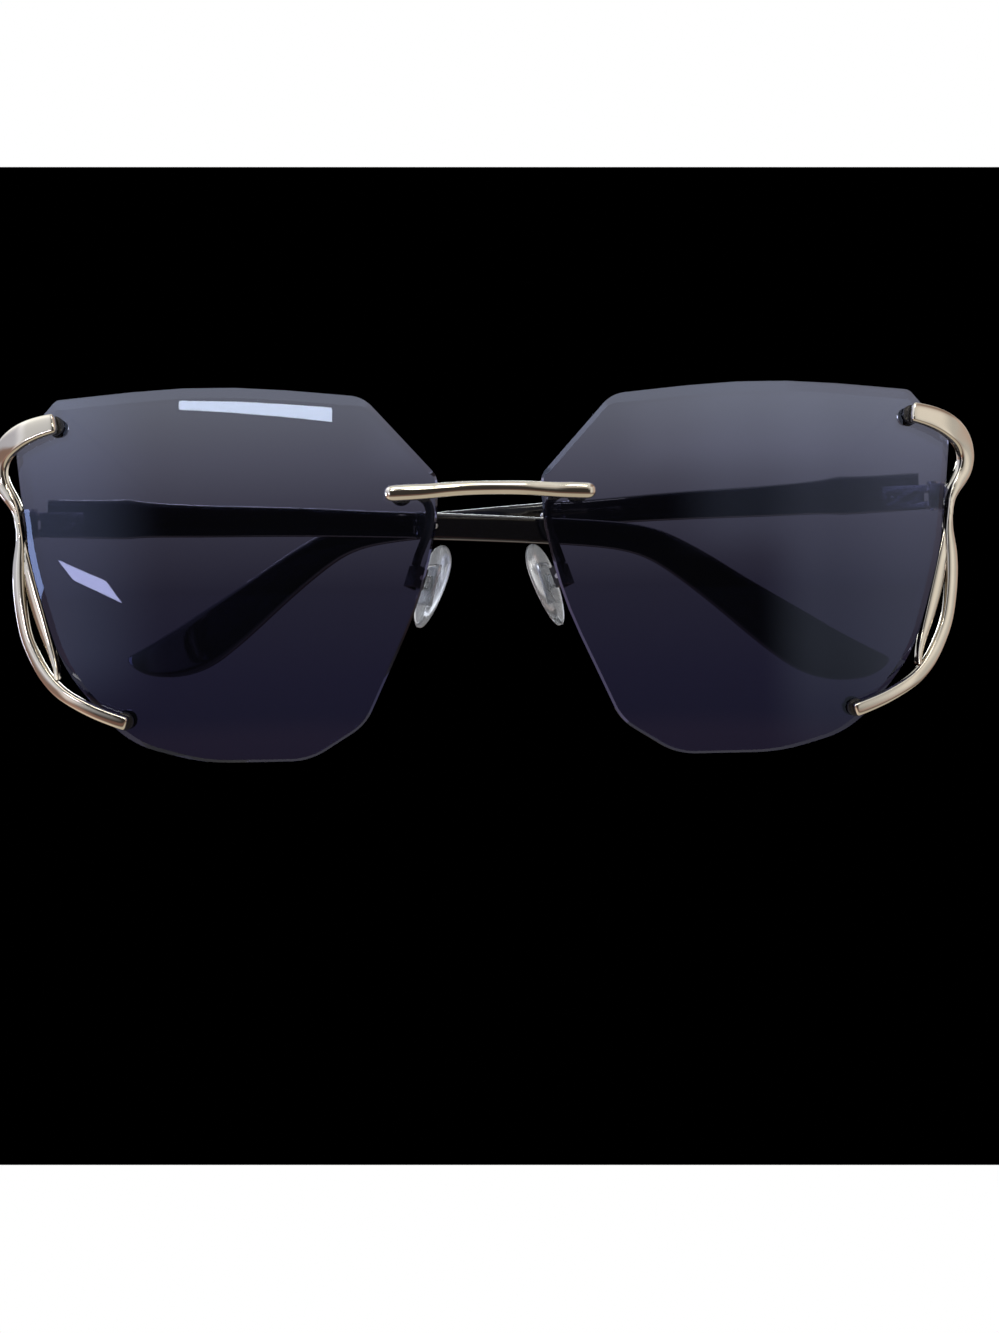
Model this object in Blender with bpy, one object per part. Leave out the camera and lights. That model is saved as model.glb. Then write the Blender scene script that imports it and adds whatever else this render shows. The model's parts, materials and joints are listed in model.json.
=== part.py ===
"""Rimless sunglasses with folding temples, modelled folded as they lie on a table.

The front faces -Y, +Z is up and X runs across the face, with the wearer's left at +X.
The lenses' lower edges stand at Z = 0, and Y = 0 is midway through the folded depth.
Every length is in metres.
"""
import math

import bmesh
import bpy
from mathutils import Matrix, Vector

MM = 0.001

# Lenses: the box around the corners before they are rounded, and the curve of the glass
LENS_WIDTH = 62.8 * MM
LENS_HEIGHT = 56.1 * MM
LENS_THICKNESS = 1.9 * MM
LENS_CURVE_RADIUS = 180.0 * MM
LENS_WRAP = math.radians(5.0)
LENS_GAP = 15.4 * MM
LENS_EDGE_BEVEL = 0.35 * MM
LENS_TOP_BEVEL = 1.2 * MM
LENS_BEVEL_DEPTH = 0.4 * MM
LENS_EDGE_STEP = 6.0 * MM
LENS_FILLET_share = 0.5
LENS_RINGS = 5

# Corners of the lens, from the nasal edge out and from the bottom up, each with its radius:
# shares of the width, the height and the height
LENS_CORNER_shares = [
    (0.000, 0.747, 0.045), (0.172, 0.960, 0.090), (0.535, 1.000, 2.600), (0.902, 0.969, 0.030),
    (1.000, 0.843, 0.060), (0.970, 0.544, 1.050), (0.896, 0.254, 0.440), (0.740, 0.054, 0.250),
    (0.566, 0.000, 0.500), (0.313, 0.000, 0.180), (0.179, 0.093, 0.140), (0.043, 0.421, 1.050),
    (0.000, 0.632, 0.700),
]

# Screw mounts that carry the metal on the drilled lenses
STUD_RADIUS = 0.5 * MM
RUNNING_GAP = 0.05 * MM
LENS_SEAT_GAP = 0.15 * MM
BUSH_WALL = 0.15 * MM
BUSH_FLANGE_RADIUS = 1.4 * MM
BUSH_FLANGE_THICKNESS = 0.4 * MM
BUSH_FLANGE_shares = {"upper": 1.08, "lower": 1.0, "bridge": 0.85}
WASHER_RADIUS = 1.5 * MM
WASHER_THICKNESS = 0.3 * MM
NUT_RADIUS = 1.25 * MM
NUT_HEIGHT = 1.1 * MM
NUT_CROWN = 0.3 * MM
STUD_PROUD = 0.2 * MM
STUD_ROOT = 0.6 * MM
# Places of the mounts on the lens, as shares of its width and height
MOUNT_shares = {"upper": (0.901, 0.899), "lower": (0.746, 0.115), "bridge": (0.084, 0.702)}

# Rounded end of a bar: its length as a share of the bar's thickness, then how far along it and the
# section left there
BAR_END_share = 0.25
DOME_shares = [(0.38, 0.93), (0.75, 0.73), (1.00, 0.39)]

# Bridge bar
BRIDGE_HALF_LENGTH = 15.6 * MM
BRIDGE_HEIGHT = 2.6 * MM
BRIDGE_THICKNESS = 1.8 * MM
BRIDGE_RISE = 0.5 * MM
BRIDGE_BOW = 0.7 * MM
# Along the half length: place, height, rise and bow, as shares of the four sizes above
BRIDGE_shares = [
    (0.00, 0.80, 1.00, 1.00), (0.25, 0.81, 0.90, 0.95), (0.45, 0.85, 0.55, 0.70),
    (0.62, 0.93, 0.15, 0.20), (0.80, 0.99, 0.00, 0.00), (0.93, 0.97, -0.20, 0.00),
]

# Endpieces: one casting a side, with a hooked upper bar, a narrow neck and two lower strands
BAR_WIDTH = 2.8 * MM
BAR_THICKNESS = 1.6 * MM
NECK_THICKNESS = 3.0 * MM
STRAND_WIDTH = 1.9 * MM
BAND_WIDTH = 1.9 * MM
BAND_DEPTH = 1.8 * MM
# Along the upper bar: x and z as shares of the lens's width and height, then the width as a share
# of the bar's, the set-back from the seat as a share of the neck's, and the thickness the same way
UPPER_BAR_shares = [
    (0.8980, 0.9010, 1.10, 0.00, 0.00), (0.9320, 0.8925, 1.18, 0.00, 0.00),
    (0.9700, 0.8765, 1.26, 0.00, 0.00), (1.0060, 0.8500, 1.22, 0.10, 0.05),
    (1.0300, 0.8160, 1.00, 0.35, 0.20), (1.0380, 0.7770, 0.84, 0.60, 0.45),
    (1.0300, 0.7390, 0.80, 0.80, 0.70), (1.0110, 0.7060, 0.66, 0.84, 0.84),
    (0.9980, 0.6700, 0.42, 1.00, 1.00), (0.9930, 0.6300, 0.38, 1.00, 1.00),
]
# Along the lower front strand, with the width as a share of the strand's
LOWER_STRAND_shares = [
    (0.9980, 0.6750, 0.54, 1.00, 1.00), (0.9920, 0.6280, 0.58, 1.00, 0.95),
    (0.9910, 0.5880, 0.72, 0.94, 0.65), (0.9940, 0.5500, 0.86, 0.84, 0.35),
    (0.9955, 0.5050, 0.94, 0.74, 0.20), (0.9930, 0.4500, 0.94, 0.66, 0.12),
    (0.9860, 0.3900, 0.92, 0.59, 0.05), (0.9760, 0.3400, 0.92, 0.52, 0.00),
    (0.9570, 0.2900, 0.94, 0.42, 0.00), (0.9320, 0.2420, 0.98, 0.28, 0.00),
    (0.9000, 0.2020, 1.00, 0.12, 0.00), (0.8620, 0.1720, 1.00, 0.02, 0.00),
    (0.8040, 0.1380, 1.04, 0.00, 0.00), (0.7420, 0.1120, 1.10, 0.00, 0.00),
]
# Along the side band behind the strand, with the width as a share of the band's
SIDE_BAND_shares = [
    (0.9855, 0.5950, 0.45, 1.00), (0.9803, 0.5500, 0.72, 0.97), (0.9745, 0.5150, 0.86, 0.96),
    (0.9672, 0.4750, 0.95, 0.95), (0.9585, 0.4350, 1.00, 0.94), (0.9482, 0.3950, 0.96, 0.93),
    (0.9352, 0.3470, 0.82, 0.90), (0.9198, 0.3000, 0.60, 0.82), (0.9065, 0.2560, 0.42, 0.62),
    (0.9030, 0.2280, 0.38, 0.35),
]

# Hinges: a three-barrel hinge a side, the wearer's left one higher so that its temple folds over
HINGE_INSET = 2.0 * MM
HINGE_DEPTH = 12.0 * MM
HINGE_HEIGHT_RIGHT = 36.1 * MM
TEMPLE_STAGGER = 2.2 * MM
FOLD_ANGLE_LEFT = math.radians(13.0)
FOLD_ANGLE_RIGHT = math.radians(-1.4)
BARREL_RADIUS = 1.15 * MM
BARREL_HEIGHT = 1.2 * MM
BARREL_GAP = 0.05 * MM
HINGE_PIN_RADIUS = 0.45 * MM
HINGE_PIN_HEAD_RADIUS = 0.85 * MM
HINGE_PIN_HEAD = 0.45 * MM
FRONT_LEAF_THICKNESS = 1.3 * MM
FRONT_LEAF_INNER = 1.1 * MM
FRONT_LEAF_SEAT_GAP = 0.25 * MM
FRONT_LEAF_STANDOFF = 1.5 * MM
LEAF_THICKNESS = 0.6 * MM
LEAF_LENGTH = 7.6 * MM
LEAF_RIVET_RADIUS = 0.45 * MM
LEAF_RIVET_DEPTH = 1.3 * MM
LEAF_RIVET_HEAD = 0.12 * MM
RIVET_DOME_share = 0.6
LEAF_RIVET_shares = {"front": 0.42, "rear": 0.80}

# Temples: black arms with sleeves on their bent ends, over a flat core wire
TEMPLE_REACH = 129.6 * MM
TEMPLE_DROP = 26.8 * MM
TEMPLE_THICKNESS = 3.0 * MM
TEMPLE_RISE = 1.1 * MM
BUTT_SETBACK = 2.2 * MM
SLEEVE_SEAM = 0.1 * MM
# Along the temple from the hinge: shares of the reach, then top and bottom edge as shares of the
# drop below the temple's axis, then the thickness as a share
ARM_shares = [
    (0.026, -0.106, 0.110, 1.00), (0.060, -0.100, 0.118, 1.00), (0.100, -0.098, 0.125, 1.00),
    (0.112, -0.100, 0.124, 0.98), (0.135, -0.080, 0.118, 0.95), (0.200, -0.058, 0.123, 0.92),
    (0.306, -0.038, 0.127, 0.88), (0.400, -0.010, 0.140, 0.88), (0.445, 0.000, 0.148, 0.90),
]
SLEEVE_shares = [
    (0.445, -0.004, 0.152, 0.98), (0.500, 0.010, 0.164, 0.98), (0.580, 0.034, 0.184, 0.97),
    (0.640, 0.052, 0.206, 0.97), (0.680, 0.068, 0.226, 0.97), (0.712, 0.090, 0.266, 0.97),
    (0.740, 0.128, 0.345, 0.98), (0.790, 0.262, 0.535, 1.00), (0.835, 0.405, 0.730, 1.00),
    (0.870, 0.510, 0.868, 1.00), (0.900, 0.596, 0.955, 0.98), (0.930, 0.682, 0.995, 0.94),
    (0.960, 0.764, 0.998, 0.86), (0.982, 0.822, 0.972, 0.72), (0.995, 0.852, 0.925, 0.45),
    (1.000, 0.868, 0.896, 0.20),
]
CORE_START_share = 0.345
CORE_END_share = 0.880
CORE_HEIGHT = 1.7 * MM
CORE_THICKNESS = 0.9 * MM
CORE_STATIONS = 14
SLEEVE_RIVET_RADIUS = 0.5 * MM
SLEEVE_RIVET_PROUD = 0.15 * MM
SLEEVE_RIVET_share = 0.468

# Nose pads: silicone pads that rock on a screw in a small box at the end of a bent arm
PAD_LENGTH = 13.2 * MM
PAD_WIDTH = 7.2 * MM
PAD_THICKNESS = 2.3 * MM
PAD_PIVOT_X = 10.9 * MM
PAD_PIVOT_DEPTH = 7.2 * MM
PAD_PIVOT_DROP = 9.1 * MM
PAD_LOWERING = 0.2 * MM
PAD_SPLAY_FRONT = math.radians(21.0)
PAD_SPLAY_PLAN = math.radians(33.0)
PAD_STANDOFF = 1.75 * MM
PAD_BOX_LENGTH = 3.2 * MM
PAD_BOX_WALL = 0.55 * MM
PAD_BOX_FLOOR = 0.5 * MM
PAD_BOX_SIDE = 0.85 * MM
TAB_WIDTH = 1.2 * MM
TAB_LENGTH = 1.8 * MM
TAB_FOOT = 0.35 * MM
TAB_SIDE_GAP = 0.12 * MM
TAB_FOOT_GAP = 0.25 * MM
INSERT_LENGTH = 6.4 * MM
INSERT_WIDTH = 3.2 * MM
INSERT_THICKNESS = 0.55 * MM
INSERT_DEPTH = 0.6 * MM
PAD_SCREW_RADIUS = 0.38 * MM
PAD_SCREW_HEAD_RADIUS = 0.7 * MM
PAD_SCREW_HEAD = 0.35 * MM
# Along the pad from its lower end: place, half width and thickness, as shares
PAD_shares = [
    (0.00, 0.10, 0.30), (0.03, 0.26, 0.55), (0.10, 0.45, 0.78), (0.22, 0.66, 0.92),
    (0.38, 0.86, 1.00), (0.55, 0.98, 1.00), (0.72, 0.98, 0.98), (0.86, 0.80, 0.90),
    (0.95, 0.50, 0.70), (0.99, 0.26, 0.45), (1.00, 0.12, 0.28),
]
PAD_ARM_WIDTH = 1.4 * MM
PAD_ARM_THICKNESS = 0.9 * MM
PAD_ARM_BOW = 3.1 * MM
PAD_ARM_LEAD = 1.8 * MM
PAD_ARM_SEAT_GAP = 0.2 * MM
EYELET_RADIUS = 1.7 * MM
EYELET_THICKNESS = 0.65 * MM
PAD_ARM_START_share = 0.5
PAD_ARM_GROWTH_STEPS = 6
PAD_ARM_SIDES = 8
# Along the pad arm: bow towards the nose, and depth and height from the eyelet to the box
PAD_ARM_shares = [(0.62, 0.06, 0.04), (0.98, 0.22, 0.18), (0.98, 0.50, 0.46)]

ROUND_SIDES = 12
BAR_SIDES = 12
TEMPLE_SIDES = 12
SMOOTH_STEPS = 2
OVERRUN = 1.0 * MM

SIDES = {"left": 1, "right": -1}
HINGE_HEIGHTS = {"left": HINGE_HEIGHT_RIGHT + TEMPLE_STAGGER, "right": HINGE_HEIGHT_RIGHT}
FOLD_ANGLES = {"left": FOLD_ANGLE_LEFT, "right": FOLD_ANGLE_RIGHT}
LENS_INNER_X = LENS_GAP / 2
HINGE_SPACING = LENS_GAP + 2 * LENS_WIDTH - 2 * HINGE_INSET
BUSH_RADIUS = STUD_RADIUS + RUNNING_GAP + BUSH_WALL
BUSH_BORE = STUD_RADIUS + RUNNING_GAP
LENS_HOLE_RADIUS = BUSH_RADIUS + RUNNING_GAP
BAR_SEAT = BUSH_FLANGE_THICKNESS + 2 * RUNNING_GAP
PAD_PIVOT_HEIGHT = HINGE_HEIGHT_RIGHT - PAD_PIVOT_DROP
HINGE_HALF_HEIGHT = 1.5 * BARREL_HEIGHT + BARREL_GAP
TEMPLE_INNER_FACE = BARREL_RADIUS + 2 * RUNNING_GAP


# Scene and materials

def clear_scene():
    for old in list(bpy.data.objects):
        bpy.data.objects.remove(old, do_unlink=True)


def make_material(name, colour, metallic, roughness, alpha=1.0):
    material = bpy.data.materials.new(name)
    material.use_nodes = True
    shader = material.node_tree.nodes["Principled BSDF"]
    shader.inputs["Base Color"].default_value = (*colour, 1.0)
    shader.inputs["Metallic"].default_value = metallic
    shader.inputs["Roughness"].default_value = roughness
    shader.inputs["Alpha"].default_value = alpha
    return material


def make_materials():
    return {
        "lens": make_material("smoke_lens", (0.05, 0.05, 0.10), 0.0, 0.03, 0.6),
        "gold": make_material("pale_gold", (0.80, 0.68, 0.45), 1.0, 0.15),
        "black": make_material("gloss_black", (0.01, 0.01, 0.015), 0.0, 0.12),
        "bush": make_material("black_bush", (0.015, 0.015, 0.015), 0.0, 0.45),
        "steel": make_material("bright_steel", (0.65, 0.65, 0.67), 1.0, 0.25),
        "gunmetal": make_material("gunmetal", (0.08, 0.08, 0.10), 1.0, 0.30),
        "silicone": make_material("clear_silicone", (0.80, 0.81, 0.80), 0.0, 0.25, 0.6),
    }


# Mesh building

def add_object(name, shape, material, side=1, parent=None, matrix=None):
    """Make one object from a bmesh that is built for the wearer's left, mirrored for the right."""
    if matrix is not None:
        bmesh.ops.transform(shape, matrix=matrix, verts=shape.verts)
    if side < 0:
        bmesh.ops.transform(shape, matrix=Matrix.Scale(-1, 4, (1, 0, 0)), verts=shape.verts)
        bmesh.ops.reverse_faces(shape, faces=shape.faces)
    mesh = bpy.data.meshes.new(name)
    shape.to_mesh(mesh)
    shape.free()
    obj = bpy.data.objects.new(name, mesh)
    bpy.context.scene.collection.objects.link(obj)
    if material is not None:
        mesh.materials.append(material)
    if parent is not None:
        obj.parent = parent
    return obj


def hide_cutter(cutter):
    cutter.hide_render = True
    cutter.display_type = "WIRE"
    return cutter


def apply_tool(target, tool, operation):
    modifier = target.modifiers.new(tool.name, "BOOLEAN")
    modifier.operation = operation
    modifier.solver = "EXACT"
    modifier.object = hide_cutter(tool)


def cut(target, tool):
    apply_tool(target, tool, "DIFFERENCE")


def fuse(target, tool):
    apply_tool(target, tool, "UNION")


def smooth_shading(obj, angle=math.radians(35.0)):
    obj.data.shade_smooth()
    obj.data.set_sharp_from_angle(angle=angle)
    return obj


def skin(rings, closed_along=False):
    """A bmesh through rings of equal count, capped at both ends unless it closes on itself."""
    shape = bmesh.new()
    rows = [[shape.verts.new(point) for point in ring] for ring in rings]
    pairs = list(zip(rows, rows[1:]))
    if closed_along:
        pairs.append((rows[-1], rows[0]))
    for low, high in pairs:
        count = len(low)
        for i in range(count):
            j = (i + 1) % count
            shape.faces.new((low[i], low[j], high[j], high[i]))
    if not closed_along:
        shape.faces.new(list(reversed(rows[0])))
        shape.faces.new(rows[-1])
    face_outwards(shape)
    return shape


def face_outwards(shape):
    bmesh.ops.recalc_face_normals(shape, faces=shape.faces)
    if shape.calc_volume(signed=True) < 0:
        bmesh.ops.reverse_faces(shape, faces=shape.faces)


def oval(centre, across, up, half_across, half_up, sides, exponent=2.0):
    """A ring of points on a superellipse: exponent 2 is an ellipse, and more is squarer."""
    ring = []
    for i in range(sides):
        turn = 2 * math.pi * (i + 0.5) / sides
        c, s = math.cos(turn), math.sin(turn)
        a = math.copysign(abs(c) ** (2 / exponent), c)
        b = math.copysign(abs(s) ** (2 / exponent), s)
        ring.append(centre + across * (a * half_across) + up * (b * half_up))
    return ring


def turned(profile, sides=ROUND_SIDES):
    """Rings of (radius, height) points turned about local Z."""
    rings = []
    for radius, height in profile:
        rings.append([
            Vector((radius * math.cos(2 * math.pi * i / sides),
                    radius * math.sin(2 * math.pi * i / sides), height))
            for i in range(sides)
        ])
    return rings


def turned_solid(profile, sides=ROUND_SIDES):
    return skin(turned(profile, sides))


def turned_ring(profile, sides=ROUND_SIDES):
    return skin(turned(profile, sides), closed_along=True)


def cylinder(radius, low, high, sides=ROUND_SIDES):
    return turned_solid([(radius, low), (radius, high)], sides)


def prism(outline, low, high):
    """Extrude a closed XY outline from one height to another."""
    return skin([[Vector((x, y, low)) for x, y in outline], [Vector((x, y, high)) for x, y in outline]])


def block(low, high):
    outline = [(low[0], low[1]), (high[0], low[1]), (high[0], high[1]), (low[0], high[1])]
    return prism(outline, low[2], high[2])


def smoothed(rows, steps=SMOOTH_STEPS):
    """Rows of numbers with Catmull-Rom rows between them."""
    result = []
    for i in range(len(rows) - 1):
        before, start = rows[max(i - 1, 0)], rows[i]
        end, after = rows[i + 1], rows[min(i + 2, len(rows) - 1)]
        for k in range(steps):
            t = k / steps
            result.append(tuple(
                0.5 * (2 * b + (c - a) * t + (2 * a - 5 * b + 4 * c - d) * t * t
                       + (3 * b - a - 3 * c + d) * t ** 3)
                for a, b, c, d in zip(before, start, end, after)
            ))
    result.append(tuple(rows[-1]))
    return result


# Lens surface

def lens_centre():
    """Centre of the sphere that the lens's front lies on."""
    middle_x = LENS_INNER_X + LENS_WIDTH / 2
    return Vector((
        middle_x - LENS_CURVE_RADIUS * math.sin(LENS_WRAP),
        LENS_CURVE_RADIUS * math.cos(LENS_WRAP),
        LENS_HEIGHT / 2,
    ))


def lens_point(x, z, depth=0.0):
    """The point a given depth behind the lens's front, straight behind its place at x and z."""
    centre = lens_centre()
    dx, dz = x - centre.x, z - centre.z
    front = Vector((x, centre.y - math.sqrt(LENS_CURVE_RADIUS ** 2 - dx * dx - dz * dz), z))
    return front + (centre - front).normalized() * depth


def lens_backward(x, z):
    return (lens_centre() - lens_point(x, z)).normalized()


def lens_place(share_x, share_z):
    return LENS_INNER_X + share_x * LENS_WIDTH, share_z * LENS_HEIGHT


def mount_frame(place):
    """Matrix at a mount: the origin on the lens's front, and Z straight back through the lens."""
    x, z = lens_place(*MOUNT_shares[place])
    back = lens_backward(x, z)
    up = (Vector((0, 0, 1)) - back * back.z).normalized()
    right = up.cross(back)
    rotation = Matrix((right, up, back)).transposed().to_4x4()
    return Matrix.Translation(lens_point(x, z)) @ rotation


def rounded_corner(before, corner, after, radius):
    """Points of the arc that rounds one corner of an outline, kept to its half of each edge."""
    to_before, to_after = (before - corner).normalized(), (after - corner).normalized()
    half = math.acos(max(-1, min(1, to_before.dot(to_after)))) / 2
    shorter = min((before - corner).length, (after - corner).length)
    radius = min(radius, LENS_FILLET_share * shorter * math.tan(half))
    middle = corner + (to_before + to_after).normalized() * (radius / math.sin(half))
    start = corner + to_before * (radius / math.tan(half))
    sweep = math.pi - 2 * half
    steps = max(1, math.ceil(sweep / math.radians(14.0)), math.ceil(radius * sweep / LENS_EDGE_STEP))
    turn = 1 if to_before.cross(to_after) < 0 else -1
    arm = start - middle
    points = []
    for i in range(steps + 1):
        angle = turn * sweep * i / steps
        c, s = math.cos(angle), math.sin(angle)
        points.append(middle + Vector((arm.x * c - arm.y * s, arm.x * s + arm.y * c)))
    return points


def lens_outline():
    """The lens's edge seen from the front, as evenly stepped points."""
    corners = [Vector(lens_place(u, v)) for u, v, _ in LENS_CORNER_shares]
    count = len(corners)
    rounded = []
    for i, (_, _, radius) in enumerate(LENS_CORNER_shares):
        following = corners[(i + 1) % count]
        rounded += rounded_corner(corners[i - 1], corners[i], following, radius * LENS_HEIGHT)
    outline = []
    for i, point in enumerate(rounded):
        following = rounded[(i + 1) % len(rounded)]
        pieces = max(1, round((following - point).length / LENS_EDGE_STEP))
        outline += [point.lerp(following, k / pieces) for k in range(pieces)]
    return outline


def outline_normals(outline):
    normals = []
    for i in range(len(outline)):
        along = (outline[(i + 1) % len(outline)] - outline[i - 1]).normalized()
        normals.append(Vector((-along.y, along.x)))
    return normals


def make_lens(side_name, material):
    outline = lens_outline()
    normals = outline_normals(outline)
    widths = [LENS_EDGE_BEVEL + LENS_TOP_BEVEL * max(0, n.y) for n in normals]
    inner = [p - n * w for p, n, w in zip(outline, normals, widths)]
    middle = Vector((LENS_INNER_X + LENS_WIDTH / 2, LENS_HEIGHT / 2))

    shape = bmesh.new()

    def ring(points, depth):
        row = []
        for p in points:
            back = lens_backward(p.x, p.y)
            back.z = 0
            row.append(shape.verts.new(lens_point(p.x, p.y) + back.normalized() * depth))
        return row

    def face_of_lens(edge_points, depth):
        inward = [k / LENS_RINGS for k in range(LENS_RINGS)]
        rows = [ring([p.lerp(middle, t) for p in edge_points], depth) for t in inward]
        return rows, ring([middle], depth)[0]

    front, front_centre = face_of_lens(inner, 0.0)
    edge = ring(outline, LENS_BEVEL_DEPTH)
    back, back_centre = face_of_lens(outline, LENS_THICKNESS)
    count = len(outline)
    strips = list(zip(front, front[1:])) + [(edge, front[0]), (back[0], edge)] + list(zip(back[1:], back))
    for outer_row, inner_row in strips:
        for i in range(count):
            j = (i + 1) % count
            shape.faces.new((outer_row[i], outer_row[j], inner_row[j], inner_row[i]))
    for i in range(count):
        j = (i + 1) % count
        shape.faces.new((front[-1][i], front[-1][j], front_centre))
        shape.faces.new((back[-1][j], back[-1][i], back_centre))
    face_outwards(shape)
    side = SIDES[side_name]
    lens = add_object(f"lens_{side_name}", shape, material, side)
    for place in MOUNT_shares:
        drill = cylinder(LENS_HOLE_RADIUS, -OVERRUN, LENS_THICKNESS + OVERRUN)
        seat = mount_frame(place)
        cut(lens, add_object(f"lens_drill_{side_name}_{place}", drill, None, side, matrix=seat))
    return smooth_shading(lens)


# Mount hardware

def mount_stack(place):
    """Heights of the washer, the eyelet and the nut over the lens's front, going back."""
    washer = LENS_THICKNESS + LENS_SEAT_GAP
    eyelet = washer + WASHER_THICKNESS + RUNNING_GAP
    nut = eyelet + (EYELET_THICKNESS + RUNNING_GAP if place == "bridge" else 0)
    return washer, eyelet, nut


def stud(place):
    _, _, nut = mount_stack(place)
    return cylinder(STUD_RADIUS, -BAR_SEAT - STUD_ROOT, nut + NUT_HEIGHT + STUD_PROUD)


def make_mount_hardware(side_name, place, materials):
    side, frame = SIDES[side_name], mount_frame(place)
    washer_low, _, nut_low = mount_stack(place)
    flange_low = -RUNNING_GAP - BUSH_FLANGE_THICKNESS
    flange = BUSH_FLANGE_RADIUS * BUSH_FLANGE_shares[place]
    bush = turned_ring([
        (BUSH_BORE, flange_low), (flange, flange_low),
        (flange, -RUNNING_GAP), (BUSH_RADIUS, -RUNNING_GAP),
        (BUSH_RADIUS, LENS_THICKNESS), (BUSH_BORE, LENS_THICKNESS),
    ])
    washer_high = washer_low + WASHER_THICKNESS
    washer = turned_ring([
        (BUSH_BORE, washer_low), (WASHER_RADIUS, washer_low),
        (WASHER_RADIUS, washer_high), (BUSH_BORE, washer_high),
    ])
    nut_high = nut_low + NUT_HEIGHT
    nut = turned_ring([
        (BUSH_BORE, nut_low), (NUT_RADIUS, nut_low), (NUT_RADIUS, nut_high - NUT_CROWN),
        (NUT_RADIUS - NUT_CROWN, nut_high), (BUSH_BORE, nut_high),
    ])
    pieces = (("bush", bush, "bush"), ("washer", washer, "steel"), ("nut", nut, "steel"))
    for kind, shape, finish in pieces:
        name = f"mount_{kind}_{side_name}_{place}"
        smooth_shading(add_object(name, shape, materials[finish], side, matrix=frame))


# Bridge

def make_bridge(material):
    mount_x, mount_z = lens_place(*MOUNT_shares["bridge"])
    seat_y = lens_point(mount_x, mount_z).y - BAR_SEAT - BRIDGE_THICKNESS / 2
    half = []
    for place, height, rise, bow in smoothed(BRIDGE_shares):
        half.append((place * BRIDGE_HALF_LENGTH, seat_y - bow * BRIDGE_BOW,
                     mount_z + rise * BRIDGE_RISE, height * BRIDGE_HEIGHT / 2, BRIDGE_THICKNESS / 2))
    end = half[-1]
    tip = BRIDGE_HALF_LENGTH - end[0]
    for along, size in DOME_shares:
        half.append((end[0] + along * tip, end[1], end[2], end[3] * size, end[4] * size))
    stations = [(-x, *rest) for x, *rest in reversed(half[1:])] + half
    rings = [
        oval(Vector((x, y, z)), Vector((0, 1, 0)), Vector((0, 0, 1)), thick, high, BAR_SIDES, 2.4)
        for x, y, z, high, thick in stations
    ]
    bridge = add_object("bridge_bar", skin(rings), material)
    for side_name, side in SIDES.items():
        seat = mount_frame("bridge")
        post = add_object(f"bridge_stud_{side_name}", stud("bridge"), None, side, matrix=seat)
        fuse(bridge, post)
    return smooth_shading(bridge)


# Endpieces

def bar_rings(stations, exponent):
    """Rings along a bar that follows the lens: x, z, width, depth of its middle, thickness."""
    centres = [lens_point(x, z, depth) for x, z, _, depth, _ in stations]
    rings = []
    for i, (x, z, width, _, thickness) in enumerate(stations):
        ahead = centres[min(i + 1, len(centres) - 1)]
        behind = centres[max(i - 1, 0)]
        back = lens_backward(x, z)
        across = (ahead - behind).cross(back).normalized()
        rings.append(oval(centres[i], across, back, width / 2, thickness / 2, BAR_SIDES, exponent))
    return rings


def endpiece_stations(rows, width, steps=SMOOTH_STEPS):
    seat_depth = -BAR_SEAT - BAR_THICKNESS / 2
    neck_depth = (LENS_THICKNESS + NECK_THICKNESS) / 4
    stations = []
    for share_x, share_z, wide, back, thick in smoothed(rows, steps):
        x, z = lens_place(share_x, share_z)
        depth = seat_depth + back * (neck_depth - seat_depth)
        thickness = BAR_THICKNESS + thick * (NECK_THICKNESS - BAR_THICKNESS)
        stations.append((x, z, wide * width, depth, thickness))
    return stations


def rounded_start(stations):
    """The same stations with a domed start, so that the bar's end isn't sawn off."""
    x, z, width, depth, thickness = stations[0]
    next_x, next_z = stations[1][:2]
    reach = BAR_END_share * thickness / math.hypot(x - next_x, z - next_z)
    dome = []
    for along, size in reversed(DOME_shares):
        step = along * reach
        far_x, far_z = x + (x - next_x) * step, z + (z - next_z) * step
        dome.append((far_x, far_z, width * size, depth, thickness * size))
    return dome + stations


def make_endpiece(side_name, material):
    side = SIDES[side_name]
    upper = rounded_start(endpiece_stations(UPPER_BAR_shares, BAR_WIDTH))
    endpiece = add_object(f"endpiece_{side_name}", skin(bar_rings(upper, 4.5)), material, side)
    lower = endpiece_stations(LOWER_STRAND_shares, STRAND_WIDTH)
    lower = rounded_start(list(reversed(lower)))
    strand = skin(bar_rings(lower, 4.5))
    fuse(endpiece, add_object(f"endpiece_strand_{side_name}", strand, None, side))
    band_rows = [(x, z, wide, back, BAND_DEPTH / NECK_THICKNESS) for x, z, wide, back in SIDE_BAND_shares]
    band = [
        (x, z, width, depth, BAND_DEPTH)
        for x, z, width, depth, _ in endpiece_stations(band_rows, BAND_WIDTH, 1)
    ]
    fuse(endpiece, add_object(f"endpiece_band_{side_name}", skin(bar_rings(band, 5.0)), None, side))
    for place in ("upper", "lower"):
        seat = mount_frame(place)
        post = add_object(f"endpiece_stud_{side_name}_{place}", stud(place), None, side, matrix=seat)
        fuse(endpiece, post)
    return smooth_shading(endpiece)


# Hinges

def hinge_matrix(side_name):
    """The hinge's axis for the wearer's left side, at this side's own height."""
    return Matrix.Translation((HINGE_SPACING / 2, HINGE_DEPTH, HINGE_HEIGHTS[side_name]))


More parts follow.
